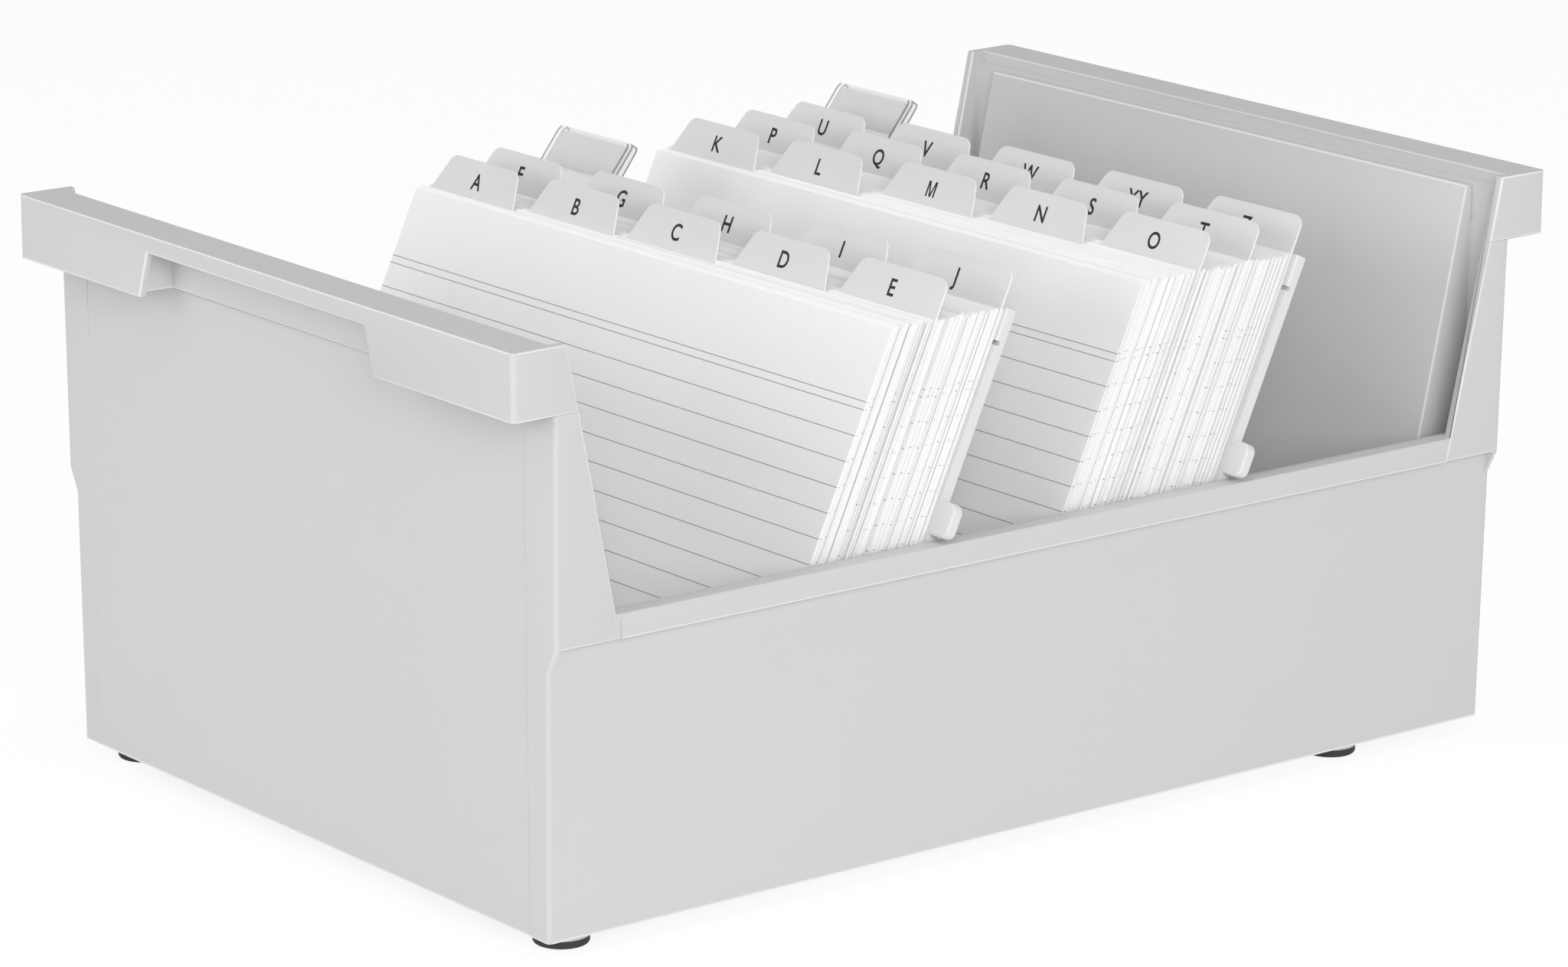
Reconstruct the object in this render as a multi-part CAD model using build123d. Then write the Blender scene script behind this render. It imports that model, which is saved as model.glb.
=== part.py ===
from build123d import *
import os
from math import cos, radians, sin, tan

# Desk drawer for index cards: an open moulded tray on four feet, filled with
# two blocks of ruled cards behind lettered tab guides.  Each block leans back
# on a support plate that hangs on the tray's side rims, and each plate
# carries a clear label rider.  Millimetres, +Z up, -Y is the near end.
# Everything is drawn with the tray's underside at z = 0 and then raised by
# the height of the feet.

# ---- filed cards
CARD_W = 210.0          # width of a card
CARD_H = 148.0          # height of a card
CARD_LEAN = 24.5        # backward lean of the filed cards, degrees
CARD_T = 0.3            # one filed card with the air beside it
WAD_CARDS = 4           # cards that lie flush in one wad of a pack
WAD_SHIFT = 0.5         # sideways scatter of the wads
WAD_RISE = 0.45         # upward scatter of the wads
RUN_GAP = 0.3           # clearance between pieces that slide past each other

# ---- tab guides
GUIDE_T = 0.5           # thickness of a tab guide
TAB_PITCH = 42.0        # distance between neighbouring tabs
TAB_TOP_W = 30.5        # width of a tab along its top
TAB_ASIDE = 2.0         # tabs sit this far right of their column's middle
TAB_H = 11.5            # height of a tab above the card tops
TAB_RUN_LEFT = 5.5      # run of the tab's left shoulder
TAB_RUN_RIGHT = 3.2     # run of the tab's right shoulder
TAB_R = 3.6             # rounding of the tab's top corners
TAB_ROOT_R = 2.6        # hollow rounding at the tab's root

# ---- tray: body
BOTTOM_W = 216.0        # outside width at the underside
BOTTOM_L = 321.4        # outside length at the underside
TRAY_H = 154.5          # underside to top edge
WALL_DRAFT = 0.72       # lean of the lower side walls, degrees
END_DRAFT = 0.41        # lean of the end walls, degrees
WALL_T = 2.0            # wall of the tray
FLOOR_T = 2.5           # floor of the tray
CORNER_R = 1.2          # rounding of the upright corners
SHOULDER_Z = 77.0       # height where the tray steps outwards
SHOULDER_STEP = 3.2     # how far the upper part stands out
SHOULDER_RUN = 6.5      # height of the slanted corner under the step
WING_T = 2.6            # thickness of the four corner wings
WING_DRAFT = 0.6        # lean of the corner wings, degrees
WING_TOP = 3.6          # length of a wing along the top edge
WING_SLOPE = 12.4       # slope of a wing's free edge, degrees

# ---- tray: side rims, end lips, ramps, floor
RIM_H = 6.5             # height of the side rim
RIM_PROUD = 0.3         # rim beyond the wing's face
RIM_IN = 0.4            # rim inside the wall's inner face
RIM_EDGE_R = 0.7        # rounding of the rim's long edges
LIP_OUT = 12.6          # how far a lip stands out from the end wall
LIP_H = 17.5            # height of a lip
LIP_SKIN = 2.2          # wall of the hollow lip
LIP_ROOT = 2.2          # extra wall where a lip springs from the end
LIP_CORNER_R = 1.5      # rounding of a lip's upright corners
GRIP_TOP_W = 99.6       # finger recess, width at its top
GRIP_LOW_W = 108.6      # finger recess, width at the lip's lower edge
GRIP_SKIRT = 4.9        # depth of the skirt left above the recess
GRIP_CHEEK_X = 55.0     # middle of the cross wall beside the recess
CHEEK_RISE = 1.2        # cross wall ends this far above the lip's lower edge
BAND_H = 3.0            # stepped band along the inside of each end's top
RAMP_W = 200.0          # width of the sloping inner end panel
RAMP_FOOT = 125.0       # ramp meets the floor this far from the middle
RAMP_TOP_DROP = 4.4     # top of the ramp below the top edge
GHOST_STEP = 0.2        # shallow step on the end's outside along the ramp
RUNNER_W = 2.0          # width of a floor runner
RUNNER_H = 3.1          # height of a floor runner above the floor
RUNNER_PITCH = 42.0     # distance between floor runners
RUNNERS = 5             # how many floor runners

# ---- feet
FOOT_R = 7.3            # rubber foot
FOOT_T = 2.2            # thickness of a rubber foot
FOOT_EDGE_R = 0.8       # rounding of a foot's lower edge
BOSS_H = 2.3            # grey boss above each foot
BOSS_FLARE = 0.9        # boss is this much wider at the tray
FOOT_X = 96.8           # feet from the middle, sideways
FRONT_FOOT_Y = 148.6    # front feet from the middle
REAR_FOOT_Y = 115.0     # rear feet from the middle

# ---- support plates and their lugs
PLATE_T = 3.2           # thickness of a support plate
PLATE_TOP_Z = 141.3     # height of a plate's top edge
PLATE_SIDE_GAP = 0.5    # plate to the tray's inner wall
LUG_OUT = 0.2           # lug beyond the rim's outer face
LUG_H = 9.5             # lug, measured along the plate
LUG_T = 3.4             # thickness of a lug
LUG_R = 2.5             # rounding of a lug's outer corners
LUG_EDGE_R = 0.7        # rounding of a lug's edges
SEAT_H = 10.0           # band thinned for the rider at the plate's top
SEAT_DEPTH = 1.4        # how much the band is thinned
SEAT_END = 4.0          # full thickness left at each end of the band
GROOVE_H = 1.2          # groove that runs out of the band's lower edge

# ---- label riders
RIDER_W = 32.5          # width of a label rider
RIDER_T = 0.6           # clear sheet that it is folded from
RIDER_H = 12.3          # height of the label pocket
RIDER_NECK = 3.4        # pocket above the plate's top edge
RIDER_TILT = 13.5       # pocket leans this much further than the plate
RIDER_LEG = 8.5         # legs that hold the plate's top edge
RIDER_R = 2.4           # rounding of the pocket's corners
RIDER_X = -84.0         # middle of the rider
RIDER_FOLD = 1.8        # pocket to rear leg at the top fold
POCKET_GAP = 0.9        # space for the paper label
LABEL_T = 0.3           # paper label
LABEL_MARGIN = 1.0      # label inside the pocket's outline

# ---- filing plan: where each block starts; cards behind each guide, and how
# far the guide sits to the right
FRONT_BLOCK_Y = -111.1  # foremost card of the front block, at the floor
REAR_BLOCK_Y = -26.5    # foremost card of the rear block, at the floor
LEAD_CARDS = 7          # cards ahead of the first guide of a block
TAB_COLUMNS = 5
FRONT_FILE = {
    "a": (7, 0.4), "b": (6, 0.3), "c": (5, -0.4), "d": (5, 0.7), "e": (11, 0.4),
    "f": (9, -0.7), "g": (8, -0.7), "h": (14, 0.0), "i": (10, 0.4), "j": (3, 0.7),
}
REAR_FILE = {
    "k": (9, 0.0), "l": (17, -0.2), "m": (8, -0.6), "n": (6, -0.5), "o": (7, 0.3),
    "p": (14, 0.4), "q": (9, -0.2), "r": (3, 0.2), "s": (9, 0.7), "t": (9, -0.5),
    "u": (11, 0.0), "v": (5, -0.5), "w": (3, -0.6), "xy": (3, 0.3), "z": (3, 0.3),
}

# ---- values that follow from the ones above
LEAN_SIN = sin(radians(CARD_LEAN))
LEAN_COS = cos(radians(CARD_LEAN))
LEAN_TAN = tan(radians(CARD_LEAN))
FOOT_H = FOOT_T + BOSS_H
RUNNER_TOP = FLOOR_T + RUNNER_H
REST_Z = RUNNER_TOP + RUN_GAP + GUIDE_T * LEAN_SIN
LOW_HW = BOTTOM_W / 2
LOW_HL = BOTTOM_L / 2
STEP_HW = LOW_HW + SHOULDER_Z * tan(radians(WALL_DRAFT)) + SHOULDER_STEP
TOP_HW = STEP_HW + (TRAY_H - SHOULDER_Z) * tan(radians(WING_DRAFT))
TOP_HL = LOW_HL + TRAY_H * tan(radians(END_DRAFT))
RIM_TOP = SHOULDER_Z + RIM_H
LIP_Z = TRAY_H - LIP_H
RUNNER_XS = [(i - (RUNNERS - 1) / 2) * RUNNER_PITCH for i in range(RUNNERS)]


def low_half_width(z):
    """Outside half width of the lower walls at a height."""
    return LOW_HW + z * tan(radians(WALL_DRAFT))


def half_length(z):
    """Outside half length of the tray at a height."""
    return LOW_HL + z * tan(radians(END_DRAFT))


def drafted(z1, w1, l1, z2, w2, l2, corner):
    """Tapered block between two rounded rectangles given by half sizes."""
    low = Plane.XY.offset(z1) * RectangleRounded(2 * w1, 2 * l1, corner)
    high = Plane.XY.offset(z2) * RectangleRounded(2 * w2, 2 * l2, corner)
    return loft([low, high])


def across(points, x1, x2):
    """Prism along X of a closed outline given as (y, z) points."""
    face = Plane.YZ.offset(x1) * make_face(Polyline(*points, close=True))
    return extrude(face, x2 - x1)


def lengthwise(points, y1, y2):
    """Prism along Y of a closed outline given as (x, z) points."""
    plane = Plane(origin=(0, y1, 0), x_dir=(1, 0, 0), z_dir=(0, -1, 0))
    face = plane * make_face(Polyline(*points, close=True))
    return extrude(face, -(y2 - y1))


def both_ends(piece):
    """The piece and its copy at the other end of the tray."""
    return piece + mirror(piece, about=Plane.XZ)


# ------------------------------------------------------------------ the tray
def lower_shell():
    """Floor and walls up to the shoulder, with drafted sides."""
    z = SHOULDER_Z
    outside = drafted(0, LOW_HW, LOW_HL, z, low_half_width(z), half_length(z), CORNER_R)
    inside = drafted(
        FLOOR_T, low_half_width(FLOOR_T) - WALL_T, half_length(FLOOR_T) - WALL_T,
        z, low_half_width(z) - WALL_T, half_length(z) - WALL_T, CORNER_R / 2)
    return outside - inside


def wing_edge(z):
    """Distance from the middle to a wing's free edge at a height."""
    return TOP_HL - WING_TOP - (TRAY_H - z) * tan(radians(WING_SLOPE))


def upper_shell():
    """End walls and corner wings: a stepped-out shell cut open at the sides.

    Level with the lips its sides stand upright, flush with the lips' ends.
    """
    z, top = SHOULDER_Z, TRAY_H
    outside = drafted(z, STEP_HW, half_length(z), top, TOP_HW, TOP_HL, CORNER_R)
    inside = drafted(
        z, STEP_HW - WING_T, half_length(z) - WALL_T,
        top, TOP_HW - WING_T, TOP_HL - WALL_T, CORNER_R / 2)
    reach = 2 * TOP_HL - WALL_T
    outside += Pos(0, 0, top - LIP_H / 2) * Box(2 * TOP_HW, reach, LIP_H)
    edge_low, edge_top = wing_edge(z), wing_edge(top)
    notch = across(
        [(-edge_low, z), (edge_low, z), (edge_top, top), (-edge_top, top)],
        -TOP_HW - WALL_T, TOP_HW + WALL_T)
    return outside - inside - notch


def corner_slants():
    """Slanted corners of the end walls that run out into the step."""
    z1, z2 = SHOULDER_Z - SHOULDER_RUN, SHOULDER_Z
    block = drafted(
        z1, low_half_width(z1), half_length(z1), z2, STEP_HW, half_length(z2), CORNER_R)
    inner = half_length(z1) - WALL_T
    middle = across(
        [(-inner, z1), (inner, z1), (inner, z2), (-inner, z2)],
        -STEP_HW - WALL_T, STEP_HW + WALL_T)
    return block - middle


def side_rim():
    """Rim along one long side, on top of the wall and between the ends."""
    x_in = low_half_width(SHOULDER_Z) - WALL_T - RIM_IN
    x_wing = STEP_HW
    x_out = x_wing + RIM_PROUD
    z1, z2 = SHOULDER_Z, RIM_TOP
    reach = half_length(z1) - WALL_T / 2
    bed = lengthwise([(x_in, z1), (x_wing, z1), (x_wing, z2), (x_in, z2)], -reach, reach)
    skirt_end = wing_edge(z1)
    face = make_face(Polyline(
        (x_in, z1), (x_out, z1), (x_out, z2), (x_in, z2), close=True))
    tops = face.vertices().sort_by(Axis.Y)[-2:]
    skirt = Plane(origin=(0, -skirt_end, 0), x_dir=(1, 0, 0), z_dir=(0, -1, 0)) * fillet(
        tops, RIM_EDGE_R)
    return bed + extrude(skirt, -2 * skirt_end)


def lip():
    """Hollow lip at the near end, open below, with a finger recess."""
    face_y = TOP_HL + LIP_OUT
    root_y = TOP_HL + LIP_ROOT
    middle_y = (TOP_HL - WALL_T / 2 + face_y) / 2
    depth = face_y - (TOP_HL - WALL_T / 2)
    block = Pos(0, -middle_y, TRAY_H - LIP_H / 2) * Box(2 * TOP_HW, depth, LIP_H)
    corners = block.edges().filter_by(Axis.Z).group_by(Axis.Y)[0]
    block = fillet(corners, LIP_CORNER_R)
    hollow_z = TRAY_H - LIP_SKIN
    y1, y2 = -face_y + LIP_SKIN, -root_y
    cheek = GRIP_CHEEK_X - LIP_SKIN / 2, GRIP_CHEEK_X + LIP_SKIN / 2
    side = TOP_HW - LIP_SKIN
    for x1, x2 in ((-side, -cheek[1]), (-cheek[0], cheek[0]), (cheek[1], side)):
        cell = Pos((x1 + x2) / 2, (y1 + y2) / 2, (LIP_Z + hollow_z) / 2 - 1)
        block -= cell * Box(x2 - x1, y2 - y1, hollow_z - LIP_Z + 2)
    grip_z = TRAY_H - GRIP_SKIRT
    recess = lengthwise(
        [(-GRIP_LOW_W / 2, LIP_Z - 1), (-GRIP_TOP_W / 2, grip_z),
         (GRIP_TOP_W / 2, grip_z), (GRIP_LOW_W / 2, LIP_Z - 1)],
        -face_y - 1, -face_y + LIP_SKIN)
    block -= recess
    for x in (-GRIP_CHEEK_X, GRIP_CHEEK_X):
        trim = Pos(x, (y1 + y2) / 2, LIP_Z + CHEEK_RISE / 2)
        block -= trim * Box(LIP_SKIN, y2 - y1, CHEEK_RISE)
    return block


def ramp():
    """Sloping inner panel of the near end, a wedge on the floor."""
    slope = tan(radians(WING_SLOPE))
    high = TRAY_H - RAMP_TOP_DROP
    crest = RAMP_FOOT + (high - FLOOR_T) * slope
    back = half_length(0) - WALL_T / 2
    outline = [
        (-RAMP_FOOT, 0), (-RAMP_FOOT, FLOOR_T), (-crest, high), (-back, high), (-back, 0)]
    return across(outline, -RAMP_W / 2, RAMP_W / 2)


def ramp_hollow():
    """Hollow under the near ramp, open at the tray's underside."""
    slope = tan(radians(WING_SLOPE))
    high = TRAY_H - RAMP_TOP_DROP - 3 * WALL_T
    foot = RAMP_FOOT + WALL_T / cos(radians(WING_SLOPE))
    crest = foot + (high - FLOOR_T) * slope
    back = half_length(0) - WALL_T
    half = RAMP_W / 2 - WALL_T
    return across(
        [(-foot, -1), (-foot, FLOOR_T), (-crest, high), (-back, high), (-back, -1)],
        -half, half)


def foot_places():
    """Centres (x, y) of the four feet."""
    front = [(-FOOT_X, -FRONT_FOOT_Y), (FOOT_X, -FRONT_FOOT_Y)]
    rear = [(-FOOT_X, REAR_FOOT_Y), (FOOT_X, REAR_FOOT_Y)]
    return front + rear


def foot_shelves():
    """Corners of the floor that carry the front feet under the ramp."""
    inner = FOOT_X - FOOT_R - BOSS_FLARE - WALL_T
    outer = RAMP_W / 2 - WALL_T / 2
    depth = 2 * (half_length(0) - WALL_T / 2 - FRONT_FOOT_Y)
    shelf = Pos((inner + outer) / 2, -FRONT_FOOT_Y, FLOOR_T / 2)
    shelf = shelf * Box(outer - inner, depth, FLOOR_T)
    return shelf + mirror(shelf, about=Plane.YZ)


def bosses():
    """Tapered boss above each foot, standing below the tray."""
    profile = make_face(Polyline(
        (0, 0), (FOOT_R + BOSS_FLARE, 0), (FOOT_R, -BOSS_H), (0, -BOSS_H), close=True))
    boss = revolve(Plane.XZ * profile, Axis.Z)
    return Compound([Pos(x, y, 0) * boss for x, y in foot_places()])


def end_details():
    """Shallow stepped panel outside and stepped top band inside, near end."""
    depth = BAND_H + 1
    band_w = 2 * (TOP_HW - WING_T)
    band = Pos(0, -TOP_HL + 1, TRAY_H - BAND_H + depth / 2) * Box(band_w, 2.4, depth)
    z1, z2 = -1, LIP_Z
    step = across(
        [(-half_length(z1) - 1, z1), (-half_length(z1) + GHOST_STEP, z1),
         (-half_length(z2) + GHOST_STEP, z2), (-half_length(z2) - 1, z2)],
        -RAMP_W / 2 - GHOST_STEP, RAMP_W / 2 + GHOST_STEP)
    return band, step


def runners():
    """Low runners along the floor that the card edges slide on."""
    reach = RAMP_FOOT - RUNNER_W
    ribs = [
        Pos(x, 0, FLOOR_T + RUNNER_H / 2) * Box(RUNNER_W, 2 * reach, RUNNER_H)
        for x in RUNNER_XS]
    return Compound(ribs)


def tray():
    """The whole moulded tray."""
    band, step = end_details()
    body = lower_shell() + upper_shell() + corner_slants()
    rim = side_rim()
    body += rim + mirror(rim, about=Plane.YZ)
    body += both_ends(ramp())
    body += both_ends(lip())
    body -= both_ends(ramp_hollow())
    body -= both_ends(band)
    body -= both_ends(step)
    body += foot_shelves()
    body += runners().solids()
    body += bosses().solids()
    return body


def rubber_feet():
    """Four round rubber feet under the bosses."""
    foot = Cylinder(FOOT_R, FOOT_T, align=(Align.CENTER, Align.CENTER, Align.MIN))
    foot = fillet(foot.edges().group_by(Axis.Z)[0], FOOT_EDGE_R)
    return Compound([Pos(x, y, -FOOT_H) * foot for x, y in foot_places()])


# ---------------------------------------------------------- cards and guides
def card_plane(y, z=REST_Z):
    """Leaning plane of a card whose foot is at y: local Y up the card."""
    origin = (0, y + (z - REST_Z) * LEAN_TAN, z)
    return Plane(origin=origin, x_dir=(1, 0, 0), z_dir=(0, -LEAN_COS, LEAN_SIN))


def wad(y, thick, shift, rise):
    """Flush cards between two leaning planes, with level edges."""
    run = thick / LEAN_COS
    up, back = CARD_H * LEAN_COS, CARD_H * LEAN_SIN
    y += rise * LEAN_TAN
    z = REST_Z + rise
    outline = [(y, z), (y + run, z), (y + run + back, z + up), (y + back, z + up)]
    return across(outline, shift - CARD_W / 2, shift + CARD_W / 2)


def card_pack(y, cards, seed):
    """Pack of cards with slightly scattered edges; returns it and its run."""
    pack = None
    done = 0
    while done < cards:
        count = min(WAD_CARDS, cards - done)
        turn = seed + done
        shift = WAD_SHIFT * sin(2.1 * turn)
        rise = WAD_RISE * (0.5 + 0.5 * sin(1.3 * turn))
        piece = wad(y + done * CARD_T / LEAN_COS, count * CARD_T, shift, rise)
        pack = piece if pack is None else pack + piece
        done += count
    return pack, cards * CARD_T / LEAN_COS


def guide(y, column, aside):
    """Tab guide: a card-sized sheet with one tab in the given column.

    The last column's tab runs flush into the sheet's edge.
    """
    half, top = CARD_W / 2, CARD_H
    middle = (column - (TAB_COLUMNS - 1) / 2) * TAB_PITCH + TAB_ASIDE
    left, right = middle - TAB_TOP_W / 2, middle + TAB_TOP_W / 2
    high = top + TAB_H
    points = [(-half, 0), (half, 0)]
    if column < TAB_COLUMNS - 1:
        points += [(half, top), (right + TAB_RUN_RIGHT, top), (right, high)]
    else:
        points += [(half, high)]
    points += [(left, high), (left - TAB_RUN_LEFT, top), (-half, top)]
    sheet = make_face(Polyline(*points, close=True))
    crown = sheet.vertices().filter_by(lambda v: v.Y > high - 0.01)
    sheet = fillet(crown, TAB_R)
    root = sheet.vertices().filter_by(lambda v: abs(v.Y - top) < 0.01 and abs(v.X) < half - 1)
    sheet = fillet(root, TAB_ROOT_R)
    return extrude(card_plane(y) * (Pos(aside, 0) * sheet), -GUIDE_T)


def block(y, files, side):
    """All guides and packs of one block; returns them and the block's end."""
    pieces = {}
    gap = RUN_GAP / LEAN_COS
    pack, run = card_pack(y, LEAD_CARDS, 1)
    pieces[f"cards_{side}_lead"] = pack
    y += run + gap
    for number, (letter, (cards, aside)) in enumerate(files.items()):
        pieces[f"guide_{letter}"] = guide(y, number % TAB_COLUMNS, aside)
        y += GUIDE_T / LEAN_COS
        pack, run = card_pack(y, cards, 3 * number + 2)
        pieces[f"cards_{letter}"] = pack
        y += run + gap
    return pieces, y


# ------------------------------------------------- support plates and riders
def plate_sizes():
    """Foot height, length and lug height of a plate, along the plate."""
    foot_z = FLOOR_T + RUN_GAP + PLATE_T * LEAN_SIN
    length = (PLATE_TOP_Z - foot_z) / LEAN_COS
    lug_v = (RIM_TOP + RUN_GAP + LUG_T * LEAN_SIN - foot_z) / LEAN_COS
    return foot_z, length, lug_v


def lug(lug_v):
    """Lug at the plate's right edge that hangs on the rim."""
    root = low_half_width(SHOULDER_Z) - WALL_T - RIM_IN - 2 * LUG_R
    tip = STEP_HW + RIM_PROUD + LUG_OUT
    face = Pos((root + tip) / 2, lug_v + LUG_H / 2) * Rectangle(tip - root, LUG_H)
    face = fillet(face.vertices().group_by(Axis.X)[-1], LUG_R)
    body = extrude(face, -LUG_T)
    rims = body.edges().group_by(Axis.Z)
    outer = [e for e in rims[-1] + rims[0] if e.center().X > root + LUG_R]
    return fillet(outer, LUG_EDGE_R)


def support_plate(y):
    """Plate that a block leans on, slotted over the floor runners."""
    foot_z, length, lug_v = plate_sizes()
    low = low_half_width(foot_z) - WALL_T - PLATE_SIDE_GAP
    high = low_half_width(SHOULDER_Z) - WALL_T - RIM_IN - RUN_GAP
    lug_top = lug_v + LUG_H
    outline = [
        (-low, 0), (low, 0), (high, lug_top), (high, length),
        (-high, length), (-high, lug_top)]
    body = extrude(make_face(Polyline(*outline, close=True)), -PLATE_T)
    slot_h = (RUNNER_H + RUN_GAP) / LEAN_COS
    for x in RUNNER_XS:
        slot = Pos(x, slot_h / 2, -PLATE_T / 2)
        body -= slot * Box(RUNNER_W + 2 * RUN_GAP, slot_h, PLATE_T)
    seat = Pos(0, length - SEAT_H / 2, -SEAT_DEPTH / 2)
    body -= seat * Box(2 * (high - SEAT_END), SEAT_H, SEAT_DEPTH)
    groove = Pos(0, length - SEAT_H + GROOVE_H / 2, -SEAT_DEPTH / 2)
    body -= groove * Box(2 * high, GROOVE_H, SEAT_DEPTH)
    right = lug(lug_v)
    body += right + mirror(right, about=Plane.YZ)
    return card_plane(y, foot_z).location * body


def pocket_line():
    """Corner, direction and forward normal of the rider's pocket."""
    tilt = radians(RIDER_TILT)
    front = RIDER_T / 2 + RUN_GAP / 2
    corner = Vector(-front, plate_sizes()[1] + RIDER_NECK)
    return corner, Vector(-sin(tilt), cos(tilt)), Vector(cos(tilt), sin(tilt))


def rider(y):
    """Clear label rider folded from one sheet, on the plate's top edge."""
    foot_z, length, _ = plate_sizes()
    corner, up, out = pocket_line()
    pitch = POCKET_GAP + RIDER_T
    heel = corner - Vector(pitch / cos(radians(RIDER_TILT)), 0)
    crest = heel + up * RIDER_H
    fold = crest - out * RIDER_FOLD
    rear = -PLATE_T - RUN_GAP - RIDER_T / 2
    front_line = Polyline(
        (corner.X, length - RIDER_LEG), (corner.X, corner.Y),
        tuple(corner + up * RIDER_H)[:2])
    back_line = Polyline(
        (corner.X, corner.Y), (heel.X, heel.Y), (crest.X, crest.Y), (fold.X, fold.Y),
        (rear, length + RIDER_NECK / 2), (rear, length - RIDER_LEG))
    fold_face = trace(front_line, RIDER_T) + trace(back_line, RIDER_T)
    plane = Plane(origin=(-RIDER_W / 2, 0, 0), x_dir=(0, 0, 1), z_dir=(-1, 0, 0))
    body = extrude(plane * fold_face, -RIDER_W)
    low, high = length - RIDER_LEG, crest.Y + RIDER_T
    outline = Pos(0, (low + high) / 2) * RectangleRounded(RIDER_W, high - low, RIDER_R)
    body = body & extrude(outline, 2 * RIDER_W, both=True)
    return card_plane(y, foot_z).location * (Pos(RIDER_X, 0, 0) * body)


def label(y):
    """Paper label that lies in the rider's pocket."""
    foot_z = plate_sizes()[0]
    corner, up, out = pocket_line()
    high = RIDER_H - 2 * LABEL_MARGIN
    centre = corner + up * (RIDER_H / 2) - out * ((POCKET_GAP + RIDER_T) / 2)
    sheet = Box(RIDER_W - 2 * LABEL_MARGIN, high, LABEL_T)
    place = Pos(RIDER_X, centre.Y, centre.X) * Rot(X=-RIDER_TILT)
    return card_plane(y, foot_z).location * (place * sheet)


# ------------------------------------------------------------------- output
def build():
    """Every piece of the drawer by node name."""
    pieces = {"tray": tray(), "rubber_feet": rubber_feet()}
    for side, y, files in (
            ("front", FRONT_BLOCK_Y, FRONT_FILE), ("rear", REAR_BLOCK_Y, REAR_FILE)):
        filed, end = block(y, files, side)
        pieces.update(filed)
        pieces[f"{side}_support_plate"] = support_plate(end)
        pieces[f"{side}_label_rider"] = rider(end)
        pieces[f"{side}_label"] = label(end)
    return pieces


def main():
    """Write one STEP file per piece, standing on the feet."""
    os.makedirs("parts", exist_ok=True)
    for name, piece in build().items():
        placed = Pos(0, 0, FOOT_H) * piece
        export_step(placed, os.path.join("parts", f"{name}.step"))


if __name__ == "__main__":
    main()
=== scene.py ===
"""Looks of a loaded index card drawer: moulded tray, ruled cards, tab guides, label riders."""

import logging
import math
from dataclasses import dataclass, field
from enum import Enum
from typing import Callable, Iterable

import bmesh
import bpy
from mathutils import Euler, Matrix, Vector

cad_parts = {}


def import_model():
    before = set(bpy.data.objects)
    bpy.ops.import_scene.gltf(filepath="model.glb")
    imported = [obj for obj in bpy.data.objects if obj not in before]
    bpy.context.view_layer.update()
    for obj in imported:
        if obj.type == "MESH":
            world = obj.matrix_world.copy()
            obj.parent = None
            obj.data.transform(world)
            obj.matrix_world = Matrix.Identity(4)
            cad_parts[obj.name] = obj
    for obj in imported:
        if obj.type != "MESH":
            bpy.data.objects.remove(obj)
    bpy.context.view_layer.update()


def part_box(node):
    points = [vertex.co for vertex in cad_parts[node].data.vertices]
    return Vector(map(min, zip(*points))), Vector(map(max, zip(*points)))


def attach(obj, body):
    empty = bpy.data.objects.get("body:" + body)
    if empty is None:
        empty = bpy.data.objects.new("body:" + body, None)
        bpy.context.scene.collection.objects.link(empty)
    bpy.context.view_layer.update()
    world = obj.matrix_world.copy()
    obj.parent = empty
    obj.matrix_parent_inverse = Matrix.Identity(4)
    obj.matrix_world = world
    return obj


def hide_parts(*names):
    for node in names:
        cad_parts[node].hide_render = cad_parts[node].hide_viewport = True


LOG = logging.getLogger("card_drawer")
MM = 0.001

# Filing, shared by the cards' print and their place.
LEAN = 24.5  # degrees that every card and guide leans back
CARD_HEIGHT = 148.0  # millimetres, landscape A5
LEAF_PLACE = "leaf_place"  # attribute that holds each card's own coordinates
FRONT_DEPTH = 0.004 * MM  # points closer to a card's front than this are on its front face

# Rounding of edges: which edges are rounded, and how the mesh around them is treated.
CRISP_ANGLE = math.radians(28)  # flatter corners stay as they are
SHORTEST_LINE = 6.0  # shortest edge that is rounded, in widths of the rounding
NARROWEST_FACE = 2.2  # narrowest face beside it, in widths of the rounding
SHORTEST_NEIGHBOUR = 0.15 * MM  # shortest edge that may meet it
WELD = 0.001 * MM
FLAT_ANGLE = math.radians(0.6)  # faces this close to one plane become one face
SMOOTH_BREADTH = 1.0 * MM  # narrower faces belong to a rounding and shade smoothly
SHARP_ANGLE = math.radians(35)


# ------------------------------------------------------------------ helpers
def linear(code: str) -> tuple[float, float, float, float]:
    """Turn an sRGB hex colour into linear values.

    Args:
        code: six hex digits, such as "D8DADA".

    Returns:
        Red, green, blue and an alpha of 1.
    """
    values = []
    for start in (0, 2, 4):
        share = int(code[start:start + 2], 16) / 255
        values.append(share / 12.92 if share <= 0.04045 else ((share + 0.055) / 1.055) ** 2.4)
    return (*values, 1.0)


def add(tree: bpy.types.NodeTree, kind: str, settings: dict | None = None,
        **inputs: object) -> bpy.types.Node:
    """Add one node with its settings, values and links.

    Args:
        tree: the node tree to add to.
        kind: Blender's node type name.
        settings: properties of the node, such as {"operation": "SINE"}.
        inputs: socket values or output sockets; "i3" means the fourth input, and
            other names are the socket's name with "_" for a space.

    Returns:
        The new node.
    """
    node = tree.nodes.new(kind)
    for name, value in (settings or {}).items():
        setattr(node, name, value)
    for name, value in inputs.items():
        if name[0] == "i" and name[1:].isdigit():
            socket = node.inputs[int(name[1:])]
        else:
            socket = node.inputs[name.replace("_", " ")]
        if isinstance(value, bpy.types.NodeSocket):
            tree.links.new(value, socket)
        else:
            socket.default_value = value
    return node


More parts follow.
